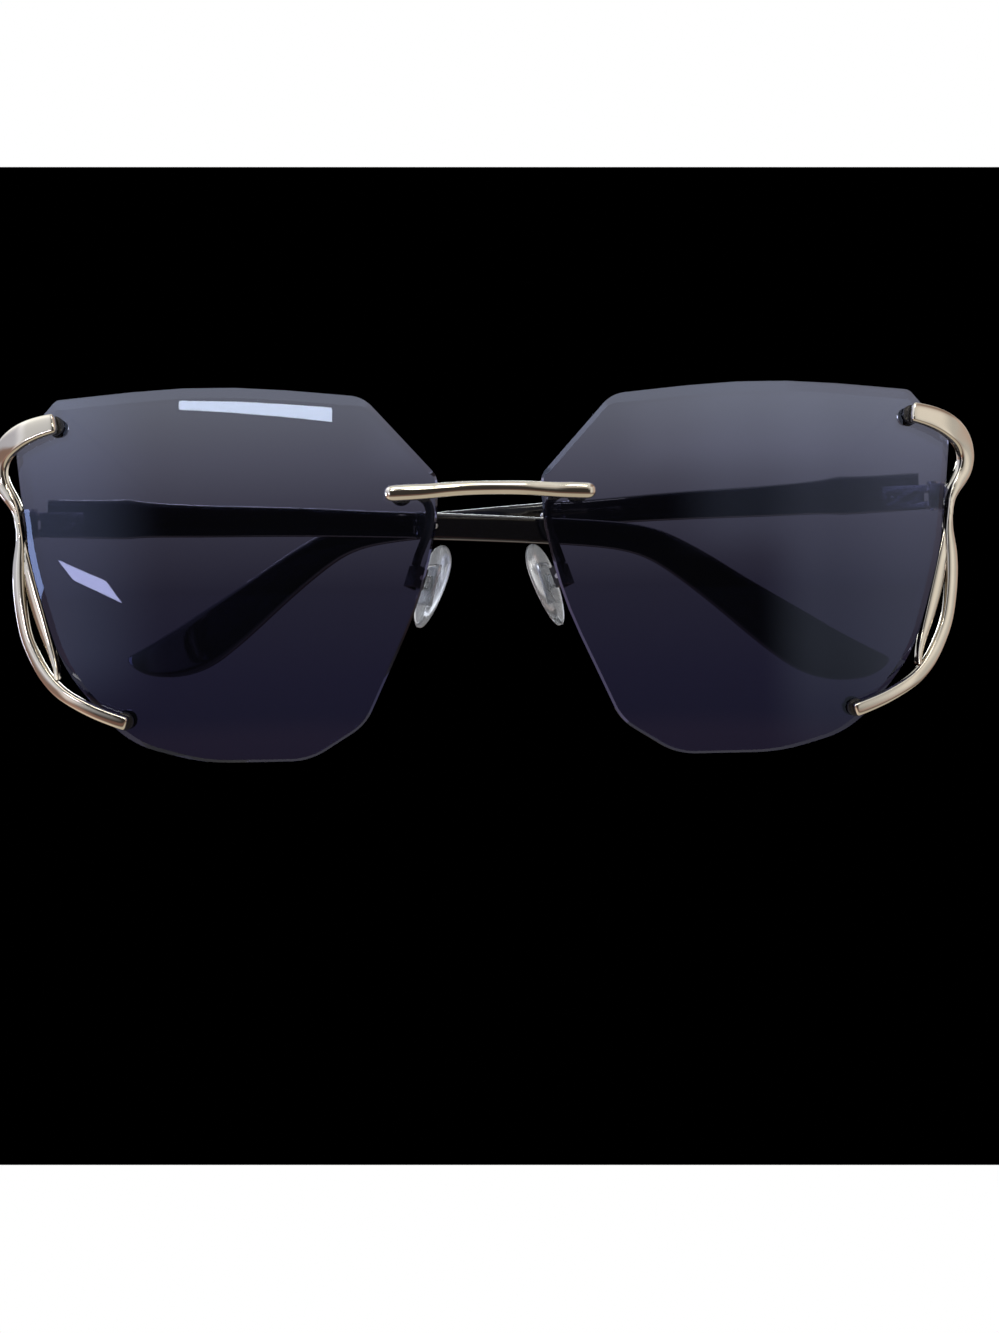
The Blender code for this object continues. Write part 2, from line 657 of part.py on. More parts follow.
def barrel_outline(tail):
    """Plan outline of a barrel with a flat tail: tail holds the tail's far corners."""
    first = math.atan2(tail[0][1], tail[0][0])
    last = math.atan2(tail[-1][1], tail[-1][0])
    if last <= first:
        last += 2 * math.pi
    gap = (last - first) / ROUND_SIDES
    turns = [first + gap * (i + 0.5) for i in range(ROUND_SIDES)]
    arc = [(BARREL_RADIUS * math.cos(turn), BARREL_RADIUS * math.sin(turn)) for turn in turns]
    return arc + [tuple(point) for point in reversed(tail)]


def make_front_leaf(side_name, material):
    """The dark leaf behind the endpiece's neck, with the hinge's middle barrel."""
    side, place = SIDES[side_name], hinge_matrix(side_name)
    neck_x, neck_z = lens_place(UPPER_BAR_shares[-1][0], UPPER_BAR_shares[-1][1])
    neck_depth = (LENS_THICKNESS + NECK_THICKNESS) / 4 + NECK_THICKNESS / 2
    neck_back = lens_point(neck_x, neck_z, neck_depth).y - HINGE_DEPTH
    plate_back = -FRONT_LEAF_STANDOFF - 3 * LEAF_THICKNESS / 4
    plate_front = plate_back - FRONT_LEAF_THICKNESS
    outer = neck_x - HINGE_SPACING / 2 + BAR_WIDTH / 4
    half = HINGE_HALF_HEIGHT
    plate = block((-FRONT_LEAF_INNER, plate_front, -half), (outer, plate_back, half))
    leaf = add_object(f"hinge_front_leaf_{side_name}", plate, material, side, matrix=place)

    foot_inner = outer - BAR_WIDTH / 2
    foot_front = neck_back + FRONT_LEAF_SEAT_GAP
    foot_half = half - LEAF_THICKNESS
    foot = block((foot_inner, foot_front, -foot_half), (outer, plate_front + LEAF_THICKNESS, foot_half))
    fuse(leaf, add_object(f"hinge_foot_{side_name}", foot, None, side, matrix=place))

    stem_half = BARREL_RADIUS - LEAF_THICKNESS / 2
    tail_y = plate_back - LEAF_THICKNESS
    stem_outline = barrel_outline([(-stem_half, tail_y), (stem_half, tail_y)])
    stem = prism(stem_outline, -BARREL_HEIGHT / 2, BARREL_HEIGHT / 2)
    fuse(leaf, add_object(f"hinge_stem_{side_name}", stem, None, side, matrix=place))
    bore = cylinder(HINGE_PIN_RADIUS + RUNNING_GAP, -OVERRUN, OVERRUN)
    cut(leaf, add_object(f"hinge_stem_bore_{side_name}", bore, None, side, matrix=place))
    return smooth_shading(leaf)


def make_hinge_pin(side_name, material):
    low = -HINGE_HALF_HEIGHT - HINGE_PIN_HEAD / 2
    seat = HINGE_HALF_HEIGHT + RUNNING_GAP
    pin = turned_solid([
        (HINGE_PIN_RADIUS, low), (HINGE_PIN_RADIUS, seat),
        (HINGE_PIN_HEAD_RADIUS, seat), (HINGE_PIN_HEAD_RADIUS, seat + HINGE_PIN_HEAD),
    ])
    side, place = SIDES[side_name], hinge_matrix(side_name)
    return smooth_shading(add_object(f"hinge_screw_{side_name}", pin, material, side, matrix=place))


def temple_empty(side_name):
    """An empty on the hinge's axis, turned to the folded angle, that carries one temple."""
    side = SIDES[side_name]
    empty = bpy.data.objects.new(f"temple_axis_{side_name}", None)
    bpy.context.scene.collection.objects.link(empty)
    empty.location = (side * HINGE_SPACING / 2, HINGE_DEPTH, HINGE_HEIGHTS[side_name])
    empty.rotation_euler = (0, 0, -side * FOLD_ANGLES[side_name])
    return empty


def rivet_drill(side_name, name, radius, x, low, high, parent):
    """A cylinder along the temple's Y, for a rivet's hole."""
    turn = Matrix.Translation((x, 0, 0)) @ Matrix.Rotation(-math.pi / 2, 4, "X")
    drill = cylinder(radius, low, high)
    return add_object(f"{name}_{side_name}", drill, None, SIDES[side_name], parent, turn)


def make_temple_leaf(side_name, material, parent):
    """The leaf on the temple's inner face, with the hinge's upper and lower barrels."""
    side = SIDES[side_name]
    high_y = TEMPLE_INNER_FACE - RUNNING_GAP
    low_y = high_y - LEAF_THICKNESS
    outline = barrel_outline([(-LEAF_LENGTH, low_y), (-LEAF_LENGTH, high_y)])
    leaf = add_object(
        f"hinge_temple_leaf_{side_name}", prism(outline, -HINGE_HALF_HEIGHT, HINGE_HALF_HEIGHT),
        material, side, parent)
    notch_half = BARREL_HEIGHT / 2 + BARREL_GAP
    notch = cylinder(BARREL_RADIUS + 4 * RUNNING_GAP, -notch_half, notch_half)
    cut(leaf, add_object(f"leaf_notch_{side_name}", notch, None, side, parent))
    reach = HINGE_HALF_HEIGHT + OVERRUN
    bore = cylinder(HINGE_PIN_RADIUS + RUNNING_GAP, -reach, reach)
    cut(leaf, add_object(f"leaf_bore_{side_name}", bore, None, side, parent))
    return smooth_shading(leaf)


# Temples

def temple_ring(row, grow=0.0):
    """One upright section of a temple, in the hinge's own frame."""
    share, top, bottom, thick = row
    half_up = (bottom - top) * TEMPLE_DROP / 2 + grow
    middle_z = TEMPLE_RISE - (bottom + top) * TEMPLE_DROP / 2
    half_y = thick * TEMPLE_THICKNESS / 2 + grow
    middle_y = TEMPLE_INNER_FACE + TEMPLE_THICKNESS / 2
    centre = Vector((-share * TEMPLE_REACH, middle_y, middle_z))
    return oval(centre, Vector((0, 1, 0)), Vector((0, 0, 1)), half_y, half_up, TEMPLE_SIDES, 7.0)


def temple_row(share):
    """The temple's section at any share of its reach, between the rows of the two tables."""
    rows = ARM_shares + SLEEVE_shares[1:]
    for low, high in zip(rows, rows[1:]):
        if low[0] <= share <= high[0]:
            t = (share - low[0]) / (high[0] - low[0])
            return tuple(a + (b - a) * t for a, b in zip(low, high))
    return rows[0] if share < rows[0][0] else rows[-1]


def core_shape(grow):
    """The flat wire inside a temple, or its pocket when grown."""
    rings = []
    end_share = grow / TEMPLE_REACH
    low, high = CORE_START_share - end_share, CORE_END_share + end_share
    for i in range(CORE_STATIONS):
        share = low + (high - low) * i / (CORE_STATIONS - 1)
        _, top, bottom, _ = temple_row(share)
        middle_z = TEMPLE_RISE - (bottom + top) * TEMPLE_DROP / 2
        centre = Vector((-share * TEMPLE_REACH, TEMPLE_INNER_FACE + TEMPLE_THICKNESS / 2, middle_z))
        half_y, half_z = CORE_THICKNESS / 2 + grow, CORE_HEIGHT / 2 + grow
        rings.append(oval(centre, Vector((0, 1, 0)), Vector((0, 0, 1)), half_y, half_z, 8, 4.0))
    return skin(rings)


def make_temple(side_name, materials):
    side, axis = SIDES[side_name], temple_empty(side_name)
    butt = (BUTT_SETBACK / TEMPLE_REACH, *ARM_shares[0][1:])
    arm_rows = [butt] + smoothed(ARM_shares)
    arm_skin = skin([temple_ring(row) for row in arm_rows])
    arm = add_object(f"temple_arm_{side_name}", arm_skin, materials["black"], side, axis)
    seam = SLEEVE_SEAM / TEMPLE_REACH
    first = SLEEVE_shares[0]
    sleeve_rows = [(first[0] + seam, *first[1:])] + SLEEVE_shares[1:]
    sleeve_skin = skin([temple_ring(row) for row in sleeve_rows])
    sleeve = add_object(f"temple_sleeve_{side_name}", sleeve_skin, materials["black"], side, axis)
    core = add_object(f"temple_core_{side_name}", core_shape(0.0), materials["steel"], side, axis)
    pocket = add_object(f"core_pocket_{side_name}", core_shape(2 * RUNNING_GAP), None, side, axis)
    cut(arm, pocket)
    cut(sleeve, pocket)

    leaf = make_temple_leaf(side_name, materials["gunmetal"], axis)
    leaf_face = TEMPLE_INNER_FACE - RUNNING_GAP - LEAF_THICKNESS
    deep = TEMPLE_INNER_FACE + LEAF_RIVET_DEPTH
    turn = Matrix.Rotation(-math.pi / 2, 4, "X")
    for end, share in LEAF_RIVET_shares.items():
        x = -share * LEAF_LENGTH
        drill = rivet_drill(side_name, f"leaf_rivet_drill_{end}", LEAF_RIVET_RADIUS + RUNNING_GAP,
                            x, leaf_face - OVERRUN, deep + RUNNING_GAP, axis)
        cut(leaf, drill)
        cut(arm, drill)
        rivet = turned_solid([
            (LEAF_RIVET_RADIUS * RIVET_DOME_share, leaf_face - LEAF_RIVET_HEAD),
            (LEAF_RIVET_RADIUS, leaf_face), (LEAF_RIVET_RADIUS, deep),
        ])
        seat = Matrix.Translation((x, 0, 0)) @ turn
        rivet_name = f"leaf_rivet_{side_name}_{end}"
        smooth_shading(add_object(rivet_name, rivet, materials["steel"], side, axis, seat))

    _, top, bottom, thick = temple_row(SLEEVE_RIVET_share)
    rivet_z = TEMPLE_RISE - (bottom + top) * TEMPLE_DROP / 2
    middle_y = TEMPLE_INNER_FACE + TEMPLE_THICKNESS / 2
    face_y = middle_y - thick * TEMPLE_THICKNESS / 2
    deep = middle_y + CORE_THICKNESS
    seat = Matrix.Translation((-SLEEVE_RIVET_share * TEMPLE_REACH, 0, rivet_z)) @ turn
    drill = cylinder(SLEEVE_RIVET_RADIUS + RUNNING_GAP, face_y - OVERRUN, deep + RUNNING_GAP)
    drill = add_object(f"sleeve_rivet_drill_{side_name}", drill, None, side, axis, seat)
    cut(sleeve, drill)
    cut(core, drill)
    rivet = turned_solid([
        (SLEEVE_RIVET_RADIUS * RIVET_DOME_share, face_y - SLEEVE_RIVET_PROUD),
        (SLEEVE_RIVET_RADIUS, face_y), (SLEEVE_RIVET_RADIUS, deep),
    ])
    smooth_shading(add_object(f"sleeve_rivet_{side_name}", rivet, materials["steel"], side, axis, seat))
    for piece in (arm, sleeve, core):
        smooth_shading(piece)


# Nose pads

def pad_matrix():
    """Frame at the pad's screw: X towards the nose, Y along the screw and Z along the pad."""
    turn = Matrix.Rotation(-PAD_SPLAY_PLAN, 4, "Z") @ Matrix.Rotation(-PAD_SPLAY_FRONT, 4, "Y")
    flip = Matrix.Rotation(math.pi, 4, "Z")
    return Matrix.Translation((PAD_PIVOT_X, PAD_PIVOT_DEPTH, PAD_PIVOT_HEIGHT)) @ turn @ flip


def insert_rings(grow):
    """The plate in the pad's back and the tab that the screw holds, as two blocks' corners."""
    plate_low = PAD_STANDOFF + INSERT_DEPTH
    half_y, half_z = INSERT_WIDTH / 2 + grow, INSERT_LENGTH / 2 + grow
    plate = ((plate_low - grow, -half_y, -half_z - PAD_LOWERING),
             (plate_low + INSERT_THICKNESS + grow, half_y, half_z - PAD_LOWERING))
    tab = ((-TAB_FOOT - grow, -TAB_WIDTH / 2 - grow, -TAB_LENGTH / 2 - grow),
           (plate_low + INSERT_THICKNESS / 2, TAB_WIDTH / 2 + grow, TAB_LENGTH / 2 + grow))
    return plate, tab


def make_nose_pad(side_name, materials):
    side, place = SIDES[side_name], pad_matrix()
    rings = []
    for along, wide, thick in PAD_shares:
        half_x = thick * PAD_THICKNESS / 2
        z = (along - 0.5) * PAD_LENGTH - PAD_LOWERING
        centre = Vector((PAD_STANDOFF + PAD_THICKNESS / 2, 0, z))
        half_y = wide * PAD_WIDTH / 2
        rings.append(oval(centre, Vector((1, 0, 0)), Vector((0, 1, 0)), half_x, half_y, BAR_SIDES, 2.3))
    pad = add_object(f"nose_pad_{side_name}", skin(rings), materials["silicone"], side, matrix=place)
    for name, corners in zip(("plate", "tab"), insert_rings(RUNNING_GAP)):
        cut(pad, add_object(f"pad_{name}_pocket_{side_name}", block(*corners), None, side, matrix=place))
    smooth_shading(pad)

    plate, tab = insert_rings(0.0)
    insert = add_object(f"pad_insert_{side_name}", block(*plate), materials["silicone"], side, matrix=place)
    fuse(insert, add_object(f"pad_tab_{side_name}", block(*tab), None, side, matrix=place))
    along_screw = place @ Matrix.Rotation(-math.pi / 2, 4, "X")
    hole = cylinder(PAD_SCREW_RADIUS + RUNNING_GAP, -OVERRUN, OVERRUN, BAR_SIDES)
    cut(insert, add_object(f"tab_hole_{side_name}", hole, None, side, matrix=along_screw))

    inner_y = TAB_WIDTH / 2 + TAB_SIDE_GAP
    outer_y = inner_y + PAD_BOX_WALL
    floor_x = -TAB_FOOT - TAB_FOOT_GAP
    half_z = PAD_BOX_LENGTH / 2
    body = block((floor_x - PAD_BOX_FLOOR, -outer_y, -half_z), (PAD_BOX_SIDE, outer_y, half_z))
    box = add_object(f"pad_box_{side_name}", body, materials["gunmetal"], side, matrix=place)
    channel_z = half_z + OVERRUN
    channel = block((floor_x, -inner_y, -channel_z), (PAD_BOX_SIDE + OVERRUN, inner_y, channel_z))
    cut(box, add_object(f"box_channel_{side_name}", channel, None, side, matrix=place))
    hole = cylinder(PAD_SCREW_RADIUS + RUNNING_GAP, -outer_y - OVERRUN, outer_y + OVERRUN, BAR_SIDES)
    cut(box, add_object(f"box_hole_{side_name}", hole, None, side, matrix=along_screw))

    head = -outer_y - RUNNING_GAP
    screw = turned_solid([
        (PAD_SCREW_HEAD_RADIUS, head - PAD_SCREW_HEAD), (PAD_SCREW_HEAD_RADIUS, head),
        (PAD_SCREW_RADIUS, head), (PAD_SCREW_RADIUS, outer_y + RUNNING_GAP),
    ], BAR_SIDES)
    screw_name = f"pad_screw_{side_name}"
    smooth_shading(add_object(screw_name, screw, materials["steel"], side, matrix=along_screw))
    floor_middle = floor_x - PAD_BOX_FLOOR / 2
    end = place @ Vector((floor_middle, 0, half_z + PAD_ARM_SEAT_GAP))
    lead = place @ Vector((floor_middle, 0, half_z + PAD_ARM_SEAT_GAP + PAD_ARM_LEAD))
    make_pad_arm(side_name, materials["gunmetal"], lead, end)


def make_pad_arm(side_name, material, lead, end):
    """An eyelet under the bridge's nut, and the strip from it by way of lead to the pad's box."""
    side, frame = SIDES[side_name], mount_frame("bridge")
    _, eyelet_low, _ = mount_stack("bridge")
    eyelet_high = eyelet_low + EYELET_THICKNESS
    eyelet = turned_ring([
        (BUSH_BORE, eyelet_low), (EYELET_RADIUS, eyelet_low),
        (EYELET_RADIUS, eyelet_high), (BUSH_BORE, eyelet_high),
    ])
    arm = add_object(f"pad_arm_{side_name}", eyelet, material, side, matrix=frame)
    wall_middle = (EYELET_RADIUS + BUSH_BORE) / 2
    start = frame @ Vector((0, 0, (eyelet_low + eyelet_high) / 2))
    start.x -= wall_middle
    fall = end - start
    route = [tuple(start)]
    for bow, depth, drop in PAD_ARM_shares:
        route.append((start.x - bow * PAD_ARM_BOW, start.y + depth * fall.y, start.z + drop * fall.z))
    route += [tuple(lead), tuple(end)]
    points = [Vector(p) for p in smoothed(route, 3)]
    rings = []
    for i, point in enumerate(points):
        along = (points[min(i + 1, len(points) - 1)] - points[max(i - 1, 0)]).normalized()
        across = along.cross(Vector((0, 1, 0))).normalized()
        grown = min(1.0, PAD_ARM_START_share + i / PAD_ARM_GROWTH_STEPS)
        half_across, half_deep = grown * PAD_ARM_WIDTH / 2, grown * PAD_ARM_THICKNESS / 2
        rings.append(oval(point, across, across.cross(along), half_across, half_deep, PAD_ARM_SIDES, 2.6))
    fuse(arm, add_object(f"pad_arm_strip_{side_name}", skin(rings), None, side))
    return smooth_shading(arm)


def folded_middle():
    """Depth midway between the bridge's front and the outer temple's tip."""
    bridge = lens_point(*lens_place(*MOUNT_shares["bridge"]))
    front = bridge.y - BAR_SEAT - BRIDGE_THICKNESS - BRIDGE_BOW
    middle_y = TEMPLE_INNER_FACE + TEMPLE_THICKNESS / 2
    angle = FOLD_ANGLES["left"]
    back = HINGE_DEPTH + TEMPLE_REACH * math.sin(angle) + middle_y * math.cos(angle)
    return (front + back) / 2


def build():
    clear_scene()
    materials = make_materials()
    make_bridge(materials["gold"])
    for side_name in SIDES:
        make_lens(side_name, materials["lens"])
        for place in MOUNT_shares:
            make_mount_hardware(side_name, place, materials)
        make_endpiece(side_name, materials["gold"])
        make_front_leaf(side_name, materials["gunmetal"])
        make_hinge_pin(side_name, materials["gunmetal"])
        make_temple(side_name, materials)
        make_nose_pad(side_name, materials)
    for obj in bpy.data.objects:
        if obj.parent is None:
            obj.location.y -= folded_middle()


build()
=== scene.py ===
# Rimless sunglasses: finishes, smooth pieces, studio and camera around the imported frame.

import json
import math

import bpy
from mathutils import Matrix, Vector

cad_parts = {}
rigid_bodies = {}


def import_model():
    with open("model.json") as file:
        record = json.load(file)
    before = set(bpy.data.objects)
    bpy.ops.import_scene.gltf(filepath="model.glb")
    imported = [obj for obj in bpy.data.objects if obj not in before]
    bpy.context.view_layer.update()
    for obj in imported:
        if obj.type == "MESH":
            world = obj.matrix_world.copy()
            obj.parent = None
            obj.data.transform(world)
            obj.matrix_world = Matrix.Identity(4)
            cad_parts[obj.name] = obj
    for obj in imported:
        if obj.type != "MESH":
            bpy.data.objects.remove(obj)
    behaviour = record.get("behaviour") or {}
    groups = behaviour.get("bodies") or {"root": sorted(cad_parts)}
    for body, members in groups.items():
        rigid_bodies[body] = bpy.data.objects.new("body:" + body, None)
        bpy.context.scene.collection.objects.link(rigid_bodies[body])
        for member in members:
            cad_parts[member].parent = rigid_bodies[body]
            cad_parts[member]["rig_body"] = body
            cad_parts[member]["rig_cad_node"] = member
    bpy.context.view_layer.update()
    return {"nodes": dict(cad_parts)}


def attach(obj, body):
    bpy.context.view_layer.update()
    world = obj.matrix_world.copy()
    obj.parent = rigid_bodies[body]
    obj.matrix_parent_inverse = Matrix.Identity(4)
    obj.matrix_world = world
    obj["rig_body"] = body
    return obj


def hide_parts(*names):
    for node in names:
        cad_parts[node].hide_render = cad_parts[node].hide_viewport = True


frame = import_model()

MM = 0.001

# The lens: the solid's own sizes and places

LENS_INNER_X = 7.7 * MM
LENS_WIDTH = 62.8 * MM
LENS_HEIGHT = 56.1 * MM
LENS_THICKNESS = 1.9 * MM
LENS_RADIUS = 180 * MM
LENS_WRAP = math.radians(5)
# The frame is centred on the folded part, so the front stands this far forward
FRONT_SHIFT = 20.404 * MM
# Centre of the sphere that the lens's front follows
LENS_MIDDLE = Vector((
    LENS_INNER_X + LENS_WIDTH / 2 - LENS_RADIUS * math.sin(LENS_WRAP),
    LENS_RADIUS * math.cos(LENS_WRAP) - FRONT_SHIFT,
    LENS_HEIGHT / 2,
))
# Corners of the rim: shares of the width and the height, then the radius as a share of the height
LENS_CORNER_SHARES = (
    (0.000, 0.747, 0.045), (0.172, 0.960, 0.090), (0.535, 1.000, 2.600), (0.902, 0.969, 0.030),
    (1.000, 0.843, 0.060), (0.970, 0.544, 1.050), (0.896, 0.254, 0.440), (0.740, 0.054, 0.250),
    (0.566, 0.000, 0.500), (0.313, 0.000, 0.180), (0.179, 0.093, 0.140), (0.043, 0.421, 1.050),
    (0.000, 0.632, 0.700),
)
# Where the studs pass through: shares of the width and the height
STUD_SHARES = ((0.901, 0.899), (0.746, 0.115), (0.084, 0.702))
HOLE_RADIUS = 0.75 * MM
DRILL_LENGTH = 10 * MM
DRILL_SIDES = 32

# The lens's polished bevel: its width all round, what the top and the outer edge add, and its depth
EDGE_BEVEL = 0.35 * MM
TOP_BEVEL = 1.2 * MM
SIDE_BEVEL = 0.75 * MM
BEVEL_DEPTH = 0.4 * MM

# How finely the lens is drawn: its corners, its rim, and its rings as shares of the rim
CORNER_STEP = math.radians(5)
LEAST_CORNER_STEPS = 3
RIM_STEP = 0.9 * MM
SHORTEST_RUN = 0.02 * MM
RING_SHARES = (1, 0.99, 0.975, *(0.95 - 0.05 * k for k in range(19)))
LENS_CREASE = math.radians(8)
PLACE_DIGITS = 7

# Copies of the solids: points and facets that are made one, and the hinge leaves' eased edges
WELD = 0.002 * MM
FACE_TURN = math.radians(12)
FACE_SKEW = math.radians(60)
LEAF_EASE = 0.12 * MM
EASE_SEGMENTS = 2


# Bench tools

def pick(piece):
    """Only this piece is selected and active."""
    bpy.ops.object.select_all(action="DESELECT")
    piece.select_set(True)
    bpy.context.view_layer.objects.active = piece


def settle(piece):
    """The piece's place, turn and size go into its mesh."""
    pick(piece)
    bpy.ops.object.transform_apply(location=True, rotation=True, scale=True)


def face_outwards(piece):
    pick(piece)
    bpy.ops.object.mode_set(mode="EDIT")
    bpy.ops.mesh.select_all(action="SELECT")
    bpy.ops.mesh.normals_make_consistent(inside=False)
    bpy.ops.object.mode_set(mode="OBJECT")


def finish_modifier(piece, kind, **settings):
    pick(piece)
    step = piece.modifiers.new(kind.title(), kind)
    for name, value in settings.items():
        setattr(step, name, value)
    bpy.ops.object.modifier_apply(modifier=step.name)


def dress(piece, material, body, node):
    """The piece takes its finish, its body and the place of the CAD node."""
    piece.data.materials.clear()
    piece.data.materials.append(material)
    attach(piece, body)
    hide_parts(node)


def polished_copy(node, material, body, corner=44, rounds=2, ease=0):
    """A CAD node's own shape, rounded between its crisp corners or, with ease, only along them."""
    pick(frame["nodes"][node])
    bpy.ops.object.duplicate()
    piece = bpy.context.object
    piece.name = node + "_polished"
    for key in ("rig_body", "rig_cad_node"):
        if key in piece:
            del piece[key]
    piece.parent = None
    crisp = math.radians(corner)
    pick(piece)
    bpy.ops.object.mode_set(mode="EDIT")
    bpy.ops.mesh.select_mode(type="EDGE")
    bpy.ops.mesh.select_all(action="SELECT")
    bpy.ops.mesh.remove_doubles(threshold=WELD)
    bpy.ops.mesh.tris_convert_to_quads(face_threshold=FACE_TURN, shape_threshold=FACE_SKEW)
    bpy.ops.mesh.select_all(action="DESELECT")
    bpy.ops.mesh.edges_select_sharp(sharpness=crisp)
    bpy.ops.transform.edge_crease(value=1.0)
    bpy.ops.object.mode_set(mode="OBJECT")
    if ease:
        finish_modifier(piece, "BEVEL", width=ease, segments=EASE_SEGMENTS, limit_method="ANGLE",
                        angle_limit=crisp)
    else:
        finish_modifier(piece, "SUBSURF", levels=rounds, render_levels=rounds)
    pick(piece)
    bpy.ops.object.shade_smooth_by_angle(angle=crisp)
    dress(piece, material, body, node)


# Finishes

class Finish:
    """A Principled material whose colour, roughness and fine relief follow noise on the piece."""

    def __init__(self, name, **sockets):
        self.material = bpy.data.materials.new(name)
        self.material.use_nodes = True
        self.nodes = self.material.node_tree.nodes
        self.links = self.material.node_tree.links
        self.shader = self.nodes["Principled BSDF"]
        for socket, value in sockets.items():
            self.shader.inputs[socket.replace("_", " ")].default_value = value
        self.place = self.nodes.new("ShaderNodeTexCoord").outputs["Object"]

    def noise(self, scale, detail, stretch=(1, 1, 1)):
        where = self.nodes.new("ShaderNodeMapping")
        where.inputs["Scale"].default_value = stretch
        grain = self.nodes.new("ShaderNodeTexNoise")
        grain.inputs["Scale"].default_value = scale
        grain.inputs["Detail"].default_value = detail
        self.links.new(self.place, where.inputs["Vector"])
        self.links.new(where.outputs["Vector"], grain.inputs["Vector"])
        return grain.outputs["Fac"]

    def height(self, top):
        """0 at the foot of the piece and 1 at its top."""
        axes = self.nodes.new("ShaderNodeSeparateXYZ")
        self.links.new(self.place, axes.inputs["Vector"])
        return self.spread(axes.outputs["Z"], (0, top), (0, 1))

    def spread(self, value, given, wanted):
        """A value from one range, brought to another."""
        step = self.nodes.new("ShaderNodeMapRange")
        for side, (start, end) in (("From", given), ("To", wanted)):
            step.inputs[side + " Min"].default_value = start
            step.inputs[side + " Max"].default_value = end
        self.links.new(value, step.inputs["Value"])
        return step.outputs["Result"]

    def colour(self, value, stops):
        band = self.nodes.new("ShaderNodeValToRGB")
        elements = band.color_ramp.elements
        while len(elements) < len(stops):
            elements.new(0.5)
        for element, (where, tone) in zip(elements, stops):
            element.position = where
            element.color = (*tone, 1)
        self.links.new(value, band.inputs["Fac"])
        self.links.new(band.outputs["Color"], self.shader.inputs["Base Color"])

    def roughness(self, low, high, scale, detail, given=(0.3, 0.75)):
        rough = self.spread(self.noise(scale, detail), given, (low, high))
        self.links.new(rough, self.shader.inputs["Roughness"])

    def relief(self, strength, depth, scale, detail, stretch=(1, 1, 1)):
        bump = self.nodes.new("ShaderNodeBump")
        bump.inputs["Strength"].default_value = strength
        bump.inputs["Distance"].default_value = depth
        self.links.new(self.noise(scale, detail, stretch), bump.inputs["Height"])
        self.links.new(bump.outputs["Normal"], self.shader.inputs["Normal"])


def champagne_gold():
    metal = Finish("champagne_gold", Metallic=1.0)
    metal.colour(metal.noise(scale=90, detail=3), (
        (0.25, (0.58, 0.52, 0.42)), (0.55, (0.65, 0.595, 0.49)), (0.80, (0.71, 0.66, 0.57)),
    ))
    metal.roughness(0.04, 0.13, scale=420, detail=5)
    metal.relief(0.10, 0.01 * MM, scale=2600, detail=2, stretch=(0.15, 1, 1))
    return metal.material


def black_acetate():
    resin = Finish("black_acetate", IOR=1.49, Coat_Weight=0.35, Coat_Roughness=0.04)
    resin.colour(resin.noise(scale=60, detail=4), (
        (0.30, (0.0010, 0.0010, 0.0014)), (0.60, (0.0022, 0.0022, 0.0034)),
        (0.85, (0.0045, 0.0048, 0.0070)),
    ))
    resin.roughness(0.04, 0.11, scale=300, detail=5)
    resin.relief(0.06, 0.01 * MM, scale=1800, detail=3, stretch=(0.12, 1, 1))
    return resin.material


def black_lacquer():
    coat = Finish("black_lacquer", Metallic=0.35, IOR=1.5)
    coat.colour(coat.noise(scale=500, detail=3), (
        (0.35, (0.008, 0.008, 0.010)), (0.75, (0.020, 0.019, 0.022)),
    ))
    coat.roughness(0.14, 0.28, scale=1500, detail=4)
    coat.relief(0.10, 0.01 * MM, scale=3000, detail=2)
    return coat.material


def gunmetal():
    metal = Finish("gunmetal", Metallic=1.0)
    metal.colour(metal.noise(scale=350, detail=4), (
        (0.30, (0.14, 0.14, 0.15)), (0.60, (0.25, 0.25, 0.27)), (0.85, (0.36, 0.36, 0.38)),
    ))
    metal.roughness(0.10, 0.24, scale=900, detail=5)
    metal.relief(0.20, 0.015 * MM, scale=2600, detail=3, stretch=(1, 1, 0.2))
    return metal.material


def steel():
    metal = Finish("steel", Metallic=1.0)
    metal.colour(metal.noise(scale=500, detail=3), (
        (0.3, (0.42, 0.42, 0.43)), (0.8, (0.58, 0.58, 0.60)),
    ))
    metal.roughness(0.16, 0.32, scale=1200, detail=5)
    metal.relief(0.15, 0.01 * MM, scale=3200, detail=2, stretch=(1, 1, 0.2))
    return metal.material


def clear_silicone():
    pad = Finish("clear_silicone", IOR=1.41, Transmission_Weight=0.92)
    pad.colour(pad.noise(scale=240, detail=3), (
        (0.30, (0.70, 0.72, 0.74)), (0.70, (0.86, 0.88, 0.90)),
    ))
    pad.roughness(0.10, 0.26, scale=700, detail=4)
    pad.relief(0.25, 0.03 * MM, scale=900, detail=3)
    return pad.material


def gradient_tint():
    glass = Finish("gradient_tint", IOR=1.50, Transmission_Weight=1.0,
                   Specular_Tint=(0.62, 0.72, 1.0, 1.0))
    glass.colour(glass.height(LENS_HEIGHT), (
        (0.00, (0.034, 0.032, 0.084)), (0.22, (0.046, 0.042, 0.104)),
        (0.45, (0.068, 0.064, 0.126)), (0.62, (0.148, 0.144, 0.235)),
        (0.80, (0.345, 0.352, 0.505)), (0.95, (0.500, 0.525, 0.680)),
    ))
    glass.roughness(0.0, 0.025, scale=160, detail=4, given=(0.35, 0.8))
    return glass.material


GOLD = champagne_gold()
ACETATE = black_acetate()
LACQUER = black_lacquer()
GUNMETAL = gunmetal()
STEEL = steel()
SILICONE = clear_silicone()
TINT = gradient_tint()


# Lenses

def lens_front(x, z):
    """The point of the lens's front that lies at this x and z."""
    dx, dz = x - LENS_MIDDLE.x, z - LENS_MIDDLE.z
    return Vector((x, LENS_MIDDLE.y - math.sqrt(LENS_RADIUS ** 2 - dx * dx - dz * dz), z))


